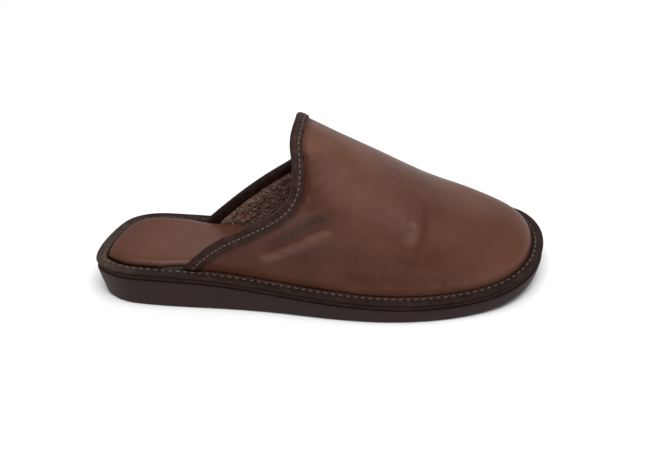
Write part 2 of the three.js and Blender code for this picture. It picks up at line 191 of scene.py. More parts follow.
tread = add(
    tree,
    "ShaderNodeMath",
    {"operation": "MULTIPLY"},
    {0: ribs.outputs["Fac"], 1: under.outputs["Result"]},
)
treaded = add(
    tree, "ShaderNodeBump", {"Strength": 0.9, "Distance": 0.0012}, {"Height": tread.outputs[0]}
)
pitted = add(
    tree,
    "ShaderNodeBump",
    {"Strength": 0.25, "Distance": 0.0002},
    {"Height": pits.outputs["Fac"], "Normal": treaded.outputs["Normal"]},
)
shader = add(
    tree,
    "ShaderNodeBsdfPrincipled",
    {"IOR": 1.52, "Specular IOR Level": 0.18},
    {
        "Base Color": heel_lit_rubber.outputs[2],
        "Roughness": shine.outputs["Result"],
        "Normal": pitted.outputs["Normal"],
    },
)
tree.links.new(shader.outputs["BSDF"], output.inputs["Surface"])

outsole = welded_copy("outsole", "moulded_outsole")
dress(outsole, rubber, "outsole")

# Platform: the midsole board, wrapped in a strip of thin dark leathercloth that is turned under and
# glued. It stands back between the outsole and the welt as a narrow shadowed band.

# Leathercloth: nearly black brown, IOR 1.5, matt, with a fine even emboss.
leathercloth, tree, output, place = new_material("leathercloth_cover")
mottle = add(tree, "ShaderNodeTexNoise", {"Scale": 120, "Detail": 4}, {"Vector": place})
tone = add(
    tree,
    "ShaderNodeValToRGB",
    {"stops": [(0.35, "#241612"), (0.7, "#301f1a")]},
    {"Fac": mottle.outputs["Fac"]},
)
emboss = add(tree, "ShaderNodeTexVoronoi", {"Scale": 1300}, {"Vector": place})
puckers = add(tree, "ShaderNodeTexNoise", {"Scale": 260, "Detail": 2}, {"Vector": place})
puckered = add(
    tree, "ShaderNodeBump", {"Strength": 0.5, "Distance": 0.0006}, {"Height": puckers.outputs["Fac"]}
)
embossed = add(
    tree,
    "ShaderNodeBump",
    {"Strength": 0.4, "Distance": 0.0002},
    {"Height": emboss.outputs["Distance"], "Normal": puckered.outputs["Normal"]},
)
shader = add(
    tree,
    "ShaderNodeBsdfPrincipled",
    {"IOR": 1.5, "Roughness": 0.7, "Specular IOR Level": 0.12},
    {"Base Color": tone.outputs["Color"], "Normal": embossed.outputs["Normal"]},
)
tree.links.new(shader.outputs["BSDF"], output.inputs["Surface"])

platform = welded_copy("platform", "covered_platform")
dress(platform, leathercloth, "platform")

# Welt: a strip of dark brown waxed leather, 7 mm wide, with a rolled edge. It is stitched down all
# round with a pale thread, 4.7 mm a stitch, along a line 5 mm in from its edge.
WELT_SEAM_INSET = 0.0050
WELT_STITCH_PITCH = 0.0047
WELT_STITCH_LENGTH = 0.0030
THREAD_THICK = 0.0007
THREAD_SINK, THREAD_RISE = 0.7, 0.9  # of a stitch's ends and of its crest, in thicknesses
FAR_OUT = 0.2  # beyond the slipper on every side
DOWN = (0, 0, -1)
RIM_FOCUS = 0.085  # half the line that the rim is searched from
RIM_NEAREST, RIM_FARTHEST, RIM_STEP = 0.02, 0.1, 0.0015


def rim_of(tree_of_faces, count):
    """Points on the outer edge of a flat piece, found by rays from above."""
    points = []
    for i in range(count):
        angle = 2 * math.pi * i / count
        outwards = Vector((math.cos(angle), math.sin(angle), 0))
        centre = Vector((RIM_FOCUS * math.cos(angle), 0, FAR_OUT))
        reach = RIM_FARTHEST
        while reach > RIM_NEAREST:
            if tree_of_faces.ray_cast(centre + outwards * reach, DOWN)[0]:
                break
            reach -= RIM_STEP
        inside, outside = reach, reach + RIM_STEP
        for _ in range(12):
            middle = (inside + outside) / 2
            if tree_of_faces.ray_cast(centre + outwards * middle, DOWN)[0]:
                inside = middle
            else:
                outside = middle
        points.append(centre + outwards * inside)
    return points


def seam_on(tree_of_faces, edge, inset):
    """The edge moved inwards and dropped on the piece: points and the surface's directions there."""
    seam = []
    count = len(edge)
    for i, point in enumerate(edge):
        along = (edge[(i + 3) % count] - edge[i - 3]).normalized()
        over = point + Vector((-along.y, along.x, 0)) * inset
        hit, normal, _, _ = tree_of_faces.ray_cast(over, DOWN)
        if hit:
            seam.append((hit, normal))
    return seam


def faces_of(piece):
    """The piece's faces, for casting rays at."""
    shape = bmesh.new()
    shape.from_mesh(piece.data)
    found = BVHTree.FromBMesh(shape)
    shape.free()
    return found


def path_mesh(seam, name, closed):
    """A seam as a line of edges that carries the directions out of the surface."""
    mesh = bpy.data.meshes.new(name)
    count = len(seam)
    edges = [(i, (i + 1) % count) for i in range(count if closed else count - 1)]
    mesh.from_pydata([point for point, _ in seam], edges, [])
    out = mesh.attributes.new("out", "FLOAT_VECTOR", "POINT")
    out.data.foreach_set("vector", [c for _, normal in seam for c in normal])
    return placed(name, mesh)


def new_tree(name, inputs, output):
    """A Geometry Nodes tree with named inputs and one output, and its input and output nodes."""
    made = bpy.data.node_groups.new(name, "GeometryNodeTree")
    for label, kind in inputs.items():
        made.interface.new_socket(label, in_out="INPUT", socket_type="NodeSocket" + kind)
    made.interface.new_socket(output, in_out="OUTPUT", socket_type="NodeSocketGeometry")
    return made, add(made, "NodeGroupInput"), add(made, "NodeGroupOutput")


def grown(source, name, grower, values):
    """Runs a Geometry Nodes tree on an object, its inputs given by name, and keeps a plain mesh."""
    growth = source.modifiers.new("growth", "NODES")
    growth.node_group = grower
    for item in grower.interface.items_tree:
        if item.name in values:
            growth[item.identifier] = values[item.name]
    return plain_mesh(source, name)


# Lays stitches along a path: each is a short round thread that dips into the leather at its ends
stitch_tree, given, result = new_tree(
    "stitches",
    {
        "Path": "Geometry",
        "Pitch": "Float",
        "Length": "Float",
        "Thickness": "Float",
        "Thread": "Material",
    },
    "Stitches",
)
path = add(stitch_tree, "GeometryNodeMeshToCurve", links={"Mesh": given.outputs["Path"]})
steps = add(
    stitch_tree,
    "GeometryNodeResampleCurve",
    {"mode": "LENGTH"},
    {"Curve": path.outputs["Curve"], "Length": given.outputs["Pitch"]},
)
along = add(stitch_tree, "GeometryNodeInputTangent")
out = add(stitch_tree, "GeometryNodeInputNamedAttribute", {"data_type": "FLOAT_VECTOR", "Name": "out"})
turn = add(
    stitch_tree,
    "FunctionNodeAxesToRotation",
    {"primary_axis": "Z", "secondary_axis": "X"},
    {0: out.outputs["Attribute"], 1: along.outputs["Tangent"]},
)
half = add(
    stitch_tree, "ShaderNodeMath", {"operation": "MULTIPLY", 1: 0.5}, {0: given.outputs["Length"]}
)
back = add(
    stitch_tree, "ShaderNodeMath", {"operation": "MULTIPLY", 1: -0.5}, {0: given.outputs["Length"]}
)
sink = add(
    stitch_tree,
    "ShaderNodeMath",
    {"operation": "MULTIPLY", 1: -THREAD_SINK},
    {0: given.outputs["Thickness"]},
)
rise = add(
    stitch_tree,
    "ShaderNodeMath",
    {"operation": "MULTIPLY", 1: THREAD_RISE},
    {0: given.outputs["Thickness"]},
)
front_end = add(
    stitch_tree, "ShaderNodeCombineXYZ", links={"X": half.outputs[0], "Z": sink.outputs[0]}
)
back_end = add(
    stitch_tree, "ShaderNodeCombineXYZ", links={"X": back.outputs[0], "Z": sink.outputs[0]}
)
crest = add(stitch_tree, "ShaderNodeCombineXYZ", links={"Z": rise.outputs[0]})
thread_line = add(
    stitch_tree,
    "GeometryNodeCurveQuadraticBezier",
    {"Resolution": 6},
    {
        "Start": back_end.outputs["Vector"],
        "Middle": crest.outputs["Vector"],
        "End": front_end.outputs["Vector"],
    },
)
thread_radius = add(
    stitch_tree, "ShaderNodeMath", {"operation": "MULTIPLY", 1: 0.5}, {0: given.outputs["Thickness"]}
)
profile = add(
    stitch_tree,
    "GeometryNodeCurvePrimitiveCircle",
    {"Resolution": 7},
    {"Radius": thread_radius.outputs[0]},
)
thread_mesh = add(
    stitch_tree,
    "GeometryNodeCurveToMesh",
    {"Fill Caps": True},
    {"Curve": thread_line.outputs["Curve"], "Profile Curve": profile.outputs["Curve"]},
)
sewn = add(
    stitch_tree,
    "GeometryNodeInstanceOnPoints",
    links={
        "Points": steps.outputs["Curve"],
        "Instance": thread_mesh.outputs["Mesh"],
        "Rotation": turn.outputs["Rotation"],
    },
)
real = add(stitch_tree, "GeometryNodeRealizeInstances", links={"Geometry": sewn.outputs["Instances"]})
threaded = add(
    stitch_tree,
    "GeometryNodeSetMaterial",
    links={"Geometry": real.outputs["Geometry"], "Material": given.outputs["Thread"]},
)
stitch_tree.links.new(threaded.outputs["Geometry"], result.inputs["Stitches"])


def sew(seam, name, closed, pitch, length, thickness, thread):
    """Sews a row of stitches along a seam, as one plain mesh."""
    values = {"Pitch": pitch, "Length": length, "Thickness": thickness, "Thread": thread}
    return grown(path_mesh(seam, name, closed), name, stitch_tree, values)


# Waxed leather: dark red brown, IOR 1.5, matt, with a coarse soft grain, and painted light greyer at
# the heel.
waxed_leather, tree, output, place = new_material("waxed_leather")
mottle = add(tree, "ShaderNodeTexNoise", {"Scale": 160, "Detail": 6}, {"Vector": place})
tone = add(
    tree,
    "ShaderNodeValToRGB",
    {"stops": [(0.3, "#1e1310"), (0.55, "#281a16"), (0.8, "#35261f")]},
    {"Fac": mottle.outputs["Fac"]},
)
along = add(tree, "ShaderNodeSeparateXYZ", links={"Vector": place})
# Painted light: patchy and greyer toward the heel's end
heel_end_light = add(
    tree,
    "ShaderNodeMapRange",
    {"From Min": -0.112, "From Max": -0.138, "To Max": 0.75},
    {"Value": along.outputs["X"]},
)
heel_light_share = add(
    tree,
    "ShaderNodeMath",
    {"operation": "MULTIPLY"},
    {0: heel_end_light.outputs["Result"], 1: mottle.outputs["Fac"]},
)
heel_lit_leather = add(
    tree,
    "ShaderNodeMix",
    {"data_type": "RGBA", 7: linear("#574a3f")},
    {0: heel_light_share.outputs[0], 6: tone.outputs["Color"]},
)
grain = add(
    tree, "ShaderNodeTexVoronoi", {"Scale": 800, "feature": "SMOOTH_F1"}, {"Vector": place}
)
grained = add(
    tree,
    "ShaderNodeBump",
    {"Strength": 0.7, "Distance": 0.0004},
    {"Height": grain.outputs["Distance"]},
)
shader = add(
    tree,
    "ShaderNodeBsdfPrincipled",
    {"IOR": 1.5, "Roughness": 0.75, "Specular IOR Level": 0.12},
    {"Base Color": heel_lit_leather.outputs[2], "Normal": grained.outputs["Normal"]},
)
tree.links.new(shader.outputs["BSDF"], output.inputs["Surface"])

# Polyester thread: beige, IOR 1.55, nearly matt, with bands of twist 2 mm apart, darker on the inner
# side.
thread, tree, output, place = new_material("polyester_thread")
twist = add(
    tree,
    "ShaderNodeTexWave",
    {"Scale": 320, "Distortion": 1.5, "bands_direction": "DIAGONAL"},
    {"Vector": place},
)
tone = add(
    tree,
    "ShaderNodeValToRGB",
    {"stops": [(0.0, "#4d4339"), (1.0, "#685c50")]},
    {"Fac": twist.outputs["Fac"]},
)
across = add(tree, "ShaderNodeSeparateXYZ", links={"Vector": place})
inner_side = add(
    tree,
    "ShaderNodeMapRange",
    {"From Min": -0.012, "From Max": 0.012, "To Max": 0.9},
    {"Value": across.outputs["Y"]},
)
# Darker towards the inner side
inner_darkened = add(
    tree,
    "ShaderNodeMix",
    {"data_type": "RGBA", "blend_type": "MULTIPLY", 7: linear("#75675c")},
    {0: inner_side.outputs["Result"], 6: tone.outputs["Color"]},
)
twisted = add(
    tree, "ShaderNodeBump", {"Strength": 0.6, "Distance": 0.0002}, {"Height": twist.outputs["Fac"]}
)
shader = add(
    tree,
    "ShaderNodeBsdfPrincipled",
    {"IOR": 1.55, "Roughness": 0.6, "Sheen Weight": 0.2},
    {"Base Color": inner_darkened.outputs[2], "Normal": twisted.outputs["Normal"]},
)
tree.links.new(shader.outputs["BSDF"], output.inputs["Surface"])

welt = welded_copy("welt", "stitched_welt")
welt_faces = faces_of(welt)
welt_edge = rim_of(welt_faces, 480)
welt_seam = seam_on(welt_faces, welt_edge, WELT_SEAM_INSET)
dress(welt, waxed_leather, "welt")
welt_stitches = sew(
    welt_seam,
    "welt_stitches",
    True,
    WELT_STITCH_PITCH,
    WELT_STITCH_LENGTH,
    THREAD_THICK,
    thread,
)
dress(welt_stitches, thread, None)

# Insole: a foam pad covered in smooth brown leather, domed a little and rounded at its edge. It is
# glued in, bare at the heel, and runs on under the upper to the toe.

# Smooth calf: mid brown, IOR 1.5, satin under a thin wax coat, with a pore grain of about 1 mm.
# Its rim and the ledge beside the binding's foot carry painted shade.
insole_leather, tree, output, place = new_material("smooth_calf")
cloud = add(tree, "ShaderNodeTexNoise", {"Scale": 26, "Detail": 4}, {"Vector": place})
tone = add(
    tree,
    "ShaderNodeValToRGB",
    {"stops": [(0.3, "#4a2a1e"), (0.5, "#533124"), (0.75, "#5c382a")]},
    {"Fac": cloud.outputs["Fac"]},
)
facing = add(tree, "ShaderNodeNewGeometry")
up = add(tree, "ShaderNodeSeparateXYZ", links={"Vector": facing.outputs["True Normal"]})
rim = add(
    tree,
    "ShaderNodeMapRange",
    {"From Min": 0.45, "From Max": 0.15, "To Max": 0.5},
    {"Value": up.outputs["Z"]},
)
spot = add(tree, "ShaderNodeSeparateXYZ", links={"Vector": place})
low = add(
    tree,
    "ShaderNodeMapRange",
    {"From Min": 0.0272, "From Max": 0.0256},
    {"Value": spot.outputs["Z"]},
)
at_heel = add(
    tree,
    "ShaderNodeMapRange",
    {"From Min": -0.072, "From Max": -0.082},
    {"Value": spot.outputs["X"]},
)
ledge = add(
    tree,
    "ShaderNodeMath",
    {"operation": "MULTIPLY"},
    {0: low.outputs["Result"], 1: at_heel.outputs["Result"]},
)
edge_shade_share = add(
    tree,
    "ShaderNodeMath",
    {"operation": "MAXIMUM"},
    {0: rim.outputs["Result"], 1: ledge.outputs[0]},
)
# Painted shade on the rim and the ledge, multiplied in with #54413a
edge_shaded = add(
    tree,
    "ShaderNodeMix",
    {"data_type": "RGBA", "blend_type": "MULTIPLY", 7: linear("#54413a")},
    {0: edge_shade_share.outputs[0], 6: tone.outputs["Color"]},
)
pores = add(
    tree, "ShaderNodeTexVoronoi", {"Scale": 900, "feature": "SMOOTH_F1"}, {"Vector": place}
)
ripple = add(tree, "ShaderNodeTexNoise", {"Scale": 60, "Detail": 3}, {"Vector": place})
rippled = add(
    tree, "ShaderNodeBump", {"Strength": 0.35, "Distance": 0.0012}, {"Height": ripple.outputs["Fac"]}
)
pored = add(
    tree,
    "ShaderNodeBump",
    {"Strength": 0.35, "Distance": 0.0002},
    {"Height": pores.outputs["Distance"], "Normal": rippled.outputs["Normal"]},
)
shader = add(
    tree,
    "ShaderNodeBsdfPrincipled",
    {
        "IOR": 1.5,
        "Roughness": 0.5,
        "Specular IOR Level": 0.15,
        "Coat Weight": 0.12,
        "Coat Roughness": 0.2,
    },
    {"Base Color": edge_shaded.outputs[2], "Normal": pored.outputs["Normal"]},
)
tree.links.new(shader.outputs["BSDF"], output.inputs["Surface"])

insole = welded_copy("insole", "padded_insole")
dress(insole, insole_leather, "insole")

# Upper: one piece of smooth aniline calf, lasted over the forefoot and open at the back. Walking
# has left a soft fold on its outer side with a hollow behind it, and a crease over the toe joint.

# Aniline calf: red brown, IOR 1.5, satin under a thin wax coat, with a fine grain of 1.2 mm, with
# painted shade halfway down its sides, and redder at the toe.
upper_leather, tree, output, place = new_material("aniline_calf")
cloud = add(tree, "ShaderNodeTexNoise", {"Scale": 22, "Detail": 5}, {"Vector": place})
tone = add(
    tree,
    "ShaderNodeValToRGB",
    {"stops": [(0.3, "#4c2b1f"), (0.5, "#5a3628"), (0.72, "#694537")]},
    {"Fac": cloud.outputs["Fac"]},
)
grain = add(
    tree, "ShaderNodeTexVoronoi", {"Scale": 850, "feature": "SMOOTH_F1"}, {"Vector": place}
)
height = add(tree, "ShaderNodeSeparateXYZ", links={"Vector": place})
low_share = add(
    tree, "ShaderNodeMapRange", {"From Min": 0.02, "From Max": 0.09}, {"Value": height.outputs["Z"]}
)
# Painted shade on the sides, strongest between 3 and 5 cm up, multiplied in with #ccbaa6
painted_side_shade = add(
    tree,
    "ShaderNodeValToRGB",
    {"stops": [(0.0, 0.0), (0.14, 0.55), (0.3, 0.85), (0.46, 0.55), (0.66, 0.15), (0.86, 0.0)]},
    {"Fac": low_share.outputs["Result"]},
)
toe_share = add(
    tree,
    "ShaderNodeMapRange",
    {"From Min": 0.062, "From Max": 0.1, "To Max": 0.7},
    {"Value": height.outputs["X"]},
)
toe_tone = add(
    tree,
    "ShaderNodeMix",
    {"data_type": "RGBA", 7: linear("#694538")},
    {0: toe_share.outputs["Result"], 6: tone.outputs["Color"]},
)
side_shaded = add(
    tree,
    "ShaderNodeMix",
    {"data_type": "RGBA", "blend_type": "MULTIPLY", 7: linear("#ccbaa6")},
    {0: painted_side_shade.outputs["Color"], 6: toe_tone.outputs[2]},
)
# Painted light along the folds is kept in the mesh: over 0 it is a painted highlight, paler, under 0 a
# painted shade, darker
wear = add(tree, "ShaderNodeAttribute", {"attribute_name": "wear"})
highlight_painted = add(
    tree,
    "ShaderNodeMix",
    # Painted highlight colour, mixed in
    {"data_type": "RGBA", 7: linear("#7d5e52")},
    {0: wear.outputs["Fac"], 6: side_shaded.outputs[2]},
)
painted_shade_share = add(tree, "ShaderNodeMath", {"operation": "MULTIPLY", 1: -1.0}, {0: wear.outputs["Fac"]})
shade_painted = add(
    tree,
    "ShaderNodeMix",
    # Painted shade colour, multiplied in
    {"data_type": "RGBA", "blend_type": "MULTIPLY", 7: linear("#ae8564")},
    {0: painted_shade_share.outputs[0], 6: highlight_painted.outputs[2]},
)
wrinkle = add(tree, "ShaderNodeTexNoise", {"Scale": 170, "Detail": 4}, {"Vector": place})
wrinkled = add(
    tree, "ShaderNodeBump", {"Strength": 0.18, "Distance": 0.0008}, {"Height": wrinkle.outputs["Fac"]}
)
grained = add(
    tree,
    "ShaderNodeBump",
    {"Strength": 0.3, "Distance": 0.0002},
    {"Height": grain.outputs["Distance"], "Normal": wrinkled.outputs["Normal"]},
)
gloss = add(
    tree,
    "ShaderNodeMapRange",
    {"From Min": 0.3, "From Max": 0.7, "To Min": 0.42, "To Max": 0.56},
    {"Value": cloud.outputs["Fac"]},
)
dulled = add(
    tree,
    "ShaderNodeMath",
    {"operation": "MULTIPLY_ADD", 1: 0.25, "use_clamp": True},
    {0: painted_shade_share.outputs[0], 2: gloss.outputs["Result"]},
)
waxed = add(
    tree,
    "ShaderNodeMapRange",
    {"From Min": 0.03, "From Max": 0.08, "To Min": 0.1, "To Max": 0.24},
    {"Value": height.outputs["Z"]},
)
shader = add(
    tree,
    "ShaderNodeBsdfPrincipled",
    {"IOR": 1.5, "Coat Weight": 0.12, "Coat Roughness": 0.2},
    {
        "Base Color": shade_painted.outputs[2],
        "Specular IOR Level": waxed.outputs["Result"],
        "Roughness": dulled.outputs[0],
        "Normal": grained.outputs["Normal"],
    },
)
tree.links.new(shader.outputs["BSDF"], output.inputs["Surface"])

# Folds of the worn vamp, by their lines over the leather: width is where a fold is down to a third,
# height is over the leather, or under it where negative, and ends is the share faded at each end
FOLDS = [
    {
        "name": "hollow behind the outer fold",
        "line": [
            (-0.0385, -0.0322, 0.0415),
            (-0.0200, -0.0356, 0.0515),
            (-0.0032, -0.0365, 0.0628),
            (0.0085, -0.0362, 0.0670),
        ],
        "width": 0.0072,
        "height": -0.0036,
        "ends": 0.35,
    },
    {
        "name": "outer fold",
        "line": [
            (-0.0410, -0.0320, 0.0355),
            (-0.0220, -0.0356, 0.0440),
            (-0.0030, -0.0382, 0.0550),
            (0.0080, -0.0385, 0.0590),
        ],
        "width": 0.0042,
        "height": 0.0016,
        "ends": 0.3,
    },
    {
        "name": "dip under the outer fold",
        "line": [(-0.020, -0.036, 0.034), (0.016, -0.042, 0.042), (0.034, -0.040, 0.050)],
        "width": 0.009,
        "height": -0.0009,
        "ends": 0.4,
    },
    {
        "name": "crease over the toe joint",
        "line": [(0.062, 0.002, 0.066), (0.0638, -0.0277, 0.0556), (0.054, -0.043, 0.042)],
        "width": 0.0032,
        "height": -0.0006,
        "ends": 0.4,
    },
    {
        "name": "swell behind the toe joint",
        "line": [(0.050, -0.016, 0.066), (0.0535, -0.034, 0.055), (0.049, -0.041, 0.048)],
        "width": 0.0066,
        "height": 0.0007,
        "ends": 0.4,
    },
]
CORE_Y, CORE_Z = 0.006, 0.030  # a line inside the upper, from heel to toe
EDGE_FROM, EDGE_SWEEP = -12, 204  # degrees about that line, from the outer side over the instep
EDGE_IN = 0.0003  # past the cut edge, where its outer corner is read
FLAT_IN = 0.0065  # past it, where the leather's direction is read

# Painted light on the vamp: share is over 0 where a highlight is painted paler, under 0 where shade is
# painted darker
PAINTED_LIGHT_MARKS = [
    {
        # Painted highlight on the fold's up-facing slope
        "name": "painted highlight along the outer fold",
        "line": [
            (-0.0405, -0.0317, 0.0370),
            (-0.0330, -0.0330, 0.0392),
            (-0.0236, -0.0343, 0.0445),
            (-0.0143, -0.0355, 0.0498),
            (-0.0033, -0.0366, 0.0560),
            (0.0070, -0.0366, 0.0603),
        ],
        "width": 0.0031,
        "share": 0.45,
        "ends": 0.12,
    },
    {
        "name": "shade in the hollow",
        "line": [
            (-0.0380, -0.0320, 0.0450),
            (-0.0260, -0.0320, 0.0520),
            (-0.0140, -0.0325, 0.0600),
            (-0.0030, -0.0330, 0.0680),
            (0.0040, -0.0335, 0.0695),
        ],
        "width": 0.0045,
        "share": -0.38,
        "ends": 0.3,
    },
    {
        # Painted shade
        "name": "painted shade deep in the hollow",
        "line": [(-0.0030, -0.0335, 0.0670), (0.0010, -0.0335, 0.0685), (0.0040, -0.0338, 0.0690)],
        "width": 0.0062,
        "share": -0.6,
        "ends": 0,
    },
    {
        "name": "shade beside the collar",
        "line": [
            (-0.0040, -0.0330, 0.0720),
            (-0.0085, -0.0282, 0.0850),
            (-0.0095, -0.0210, 0.0960),
            (-0.0100, -0.0120, 0.1030),
        ],
        "width": 0.0100,
        "share": -0.85,
        "ends": 0.15,
    },
    {
        # Painted shade in the crease
        "name": "painted shade in the toe joint's crease",
        "line": [
            (0.0638, -0.0100, 0.0640),
            (0.0640, -0.0277, 0.0556),
            (0.0607, -0.0357, 0.0502),
            (0.0550, -0.0408, 0.0440),
        ],
        "width": 0.0022,
        "share": -0.28,
        "ends": 0.3,
    },
    {
        # Painted shade low on the side
        "name": "painted shade low on the forefoot",
        "line": [
            (0.0000, -0.0420, 0.0320),
            (0.0460, -0.0472, 0.0265),
            (0.0710, -0.0462, 0.0245),
            (0.0960, -0.0412, 0.0255),
        ],
        "width": 0.0090,
        "share": -0.55,
        "ends": 0.35,
    },
    {
        # Painted sheen
        "name": "painted sheen over the joint",
        "line": [(0.0200, -0.0150, 0.0830), (0.0400, -0.0300, 0.0640), (0.0700, -0.0370, 0.0480)],
        "width": 0.0180,
        "share": 0.16,
        "ends": 0.3,
    },
    {
        # Painted highlight
        "name": "painted highlight behind the toe joint",
        "line": [(0.0550, -0.0310, 0.0570), (0.0546, -0.0342, 0.0547), (0.0530, -0.0370, 0.0520)],
        "width": 0.0040,
        "share": 0.25,
        "ends": 0,
    },
]


def vectors_of(mesh, what):
    """The mesh's vertex places ("co") or normals ("normal"), as rows."""
    rows = np.empty(len(mesh.vertices) * 3, np.float32)
    if what == "co":
        mesh.vertices.foreach_get("co", rows)
    else:
        mesh.vertex_normals.foreach_get("vector", rows)
    return rows.reshape(-1, 3).astype(float)


def place_vertices(mesh, rows):
    """Puts the mesh's vertices at these places."""
    mesh.vertices.foreach_set("co", rows.astype(np.float32).ravel())
    mesh.update()


def along_line(points, line):
    """How far each point is from a line of points, and at what share of the line's length."""
    line = np.array(line)
    lengths = np.linalg.norm(np.diff(line, axis=0), axis=1)
    nearest = np.full(len(points), 1.0)
    share = np.zeros(len(points))
    for i, length in enumerate(lengths):
        step = line[i + 1] - line[i]
        t = np.clip((points - line[i]) @ step / length**2, 0, 1)
        distance = np.linalg.norm(points - line[i] - t[:, None] * step, axis=1)
        closer = distance < nearest
        nearest[closer] = distance[closer]
        share[closer] = (lengths[:i].sum() + t[closer] * length) / lengths.sum()
    return nearest, share


def faded(share, ends):
    """How strong a fold or mark is at each share of its line, with this share faded at each end."""
    if not ends:
        return np.ones(len(share))
    return np.sin(np.clip(np.minimum(share, 1 - share) / ends, 0, 1) * math.pi / 2)


def fold_leather(mesh, folds):
    """Moves a wall in or out near each fold's line, both of its faces alike."""
    for fold in folds:
        places, normals = vectors_of(mesh, "co"), vectors_of(mesh, "normal")
        distance, share = along_line(places, fold["line"])
        away = places - np.array([0, CORE_Y, CORE_Z])
        away[:, 0] = 0
        side = np.sign((normals * away).sum(axis=1))
        strength = np.exp(-((distance / fold["width"]) ** 2)) * faded(share, fold["ends"])
        reach = fold["height"] * strength * side
        place_vertices(mesh, places + normals * reach[:, None])


def paint_light_marks(mesh, marks):
    """Keeps the painted highlight and shade near each mark's line in the mesh, for the material to
    read.
    """
    places = vectors_of(mesh, "co")
    total = np.zeros(len(places))
    for mark in marks:
        distance, share = along_line(places, mark["line"])
        distance -= mark.get("away", 0)
        strength = np.exp(-((distance / mark["width"]) ** 2)) * faded(share, mark["ends"])
        total += mark["share"] * strength
    patchy = [0.85 + 0.5 * noise.noise(Vector(place) * 280) for place in places]
    wear = mesh.attributes.new("wear", "FLOAT", "POINT")
    wear.data.foreach_set("value", (total * patchy).astype(np.float32))


def cut_edge(faces, count):
    """The upper's cut edge, found by rays from inside: points on the outer face, and normals."""
    edge = []
    for i in range(count + 1):
        angle = math.radians(EDGE_FROM + EDGE_SWEEP * i / count)
        ray = Vector((0, -math.cos(angle), math.sin(angle)))
        missed, met = -0.12, 0.03
        for _ in range(16):
            middle = (missed + met) / 2
            if faces.ray_cast(Vector((middle, CORE_Y, CORE_Z)), ray)[0]:
                met = middle
            else:
                missed = middle
        corner = faces.ray_cast(Vector((met + EDGE_IN, CORE_Y, CORE_Z)) + ray * FAR_OUT, -ray)[0]
        normal = faces.ray_cast(Vector((met + FLAT_IN, CORE_Y, CORE_Z)) + ray * FAR_OUT, -ray)[1]
        if corner and normal:
            edge.append((corner, normal))
    return edge


def slacken(mesh, height, length, seed):
    """Uneven swells over a piece, of a height, and about a length apart."""
    places, normals = vectors_of(mesh, "co"), vectors_of(mesh, "normal")
    shift = Vector((seed, 0, 0))
    swell = [noise.noise(Vector(place) / length + shift) * height for place in places]
    place_vertices(mesh, places + normals * np.array(swell)[:, None])


upper = welded_copy("upper", "leather_upper")
fold_leather(upper.data, FOLDS)
slacken(upper.data, 0.0004, 0.026, 3)
upper_edge = cut_edge(faces_of(upper), 220)
PAINTED_LIGHT_MARKS.append(
    {  # away is how far its line lies from the cut edge
        # Painted shade where the binding meets the upper
        "name": "painted shade along the binding",
        "line": [list(point) for point, _ in upper_edge[::4]],
        "away": 0.0064,
        "width": 0.0014,
        "share": -0.9,
        "ends": 0.08,
    }
)
paint_light_marks(upper.data, PAINTED_LIGHT_MARKS)
dress(upper, upper_leather, "upper")

# Collar binding: a strip of dark brown leather folded over the upper's cut edge, and sewn through
# both legs with the same pale thread, 3.5 mm a stitch.

# Soft dark leather: brown-black, IOR 1.5, nearly matt with a crinkle, darker on the inner side.
binding_leather, tree, output, place = new_material("soft_dark_leather")
mottle = add(tree, "ShaderNodeTexNoise", {"Scale": 240, "Detail": 5}, {"Vector": place})
tone = add(
    tree,
    "ShaderNodeValToRGB",
    {"stops": [(0.32, "#24130d"), (0.55, "#311c14"), (0.78, "#462c20")]},
    {"Fac": mottle.outputs["Fac"]},
)
across = add(tree, "ShaderNodeSeparateXYZ", links={"Vector": place})
inner_side = add(
    tree,
    "ShaderNodeMapRange",
    {"From Min": 0.008, "From Max": 0.024, "To Max": 0.8},
    {"Value": across.outputs["Y"]},
)
# Darker towards the inner side
inner_darkened_leather = add(
    tree,
    "ShaderNodeMix",
    {"data_type": "RGBA", "blend_type": "MULTIPLY", 7: linear("#a59d98")},
    {0: inner_side.outputs["Result"], 6: tone.outputs["Color"]},
)
crinkle = add(
    tree, "ShaderNodeTexVoronoi", {"Scale": 900, "feature": "SMOOTH_F1"}, {"Vector": place}
)
crinkled = add(
    tree,
    "ShaderNodeBump",
    {"Strength": 0.8, "Distance": 0.0004},
    {"Height": crinkle.outputs["Distance"]},
)
shader = add(
    tree,
    "ShaderNodeBsdfPrincipled",
    {"IOR": 1.5, "Roughness": 0.6, "Specular IOR Level": 0.16},
    {"Base Color": inner_darkened_leather.outputs[2], "Normal": crinkled.outputs["Normal"]},
)
tree.links.new(shader.outputs["BSDF"], output.inputs["Surface"])

COLLAR_SEAM_INSET = 0.0019  # from the cut edge
COLLAR_STITCH_PITCH = 0.0035
COLLAR_STITCH_LENGTH = 0.0025
UNSEWN = 6  # points of the cut edge at each end
BINDING_CLEAR = 0.008  # over the binding's outer leg
BINDING_DEEP = 0.02  # from there to under it


def collar_seam(faces, edge, inset):
    """The edge moved into the upper and laid on the outer leg of the binding."""
    seam = []
    for i in range(UNSEWN, len(edge) - UNSEWN):
        point, normal = edge[i]
        along = (edge[i + 2][0] - edge[i - 2][0]).normalized()
        side = along.cross(normal).normalized()
        if side.x < 0:
            side.negate()
        over = point + side * inset
        start = over + normal * BINDING_CLEAR
        hit, face_normal, _, _ = faces.ray_cast(start, -normal, BINDING_DEEP)
        if hit:
            seam.append((hit, face_normal))
    return seam


binding = welded_copy("collar_binding", "folded_binding")
binding_faces = faces_of(binding)
binding_seam = collar_seam(binding_faces, upper_edge, COLLAR_SEAM_INSET)
dress(binding, binding_leather, "collar_binding")
collar_stitches = sew(
    binding_seam,
    "collar_stitches",
    False,
    COLLAR_STITCH_PITCH,
    COLLAR_STITCH_LENGTH,
    THREAD_THICK,
    thread,
)
dress(collar_stitches, thread, None)

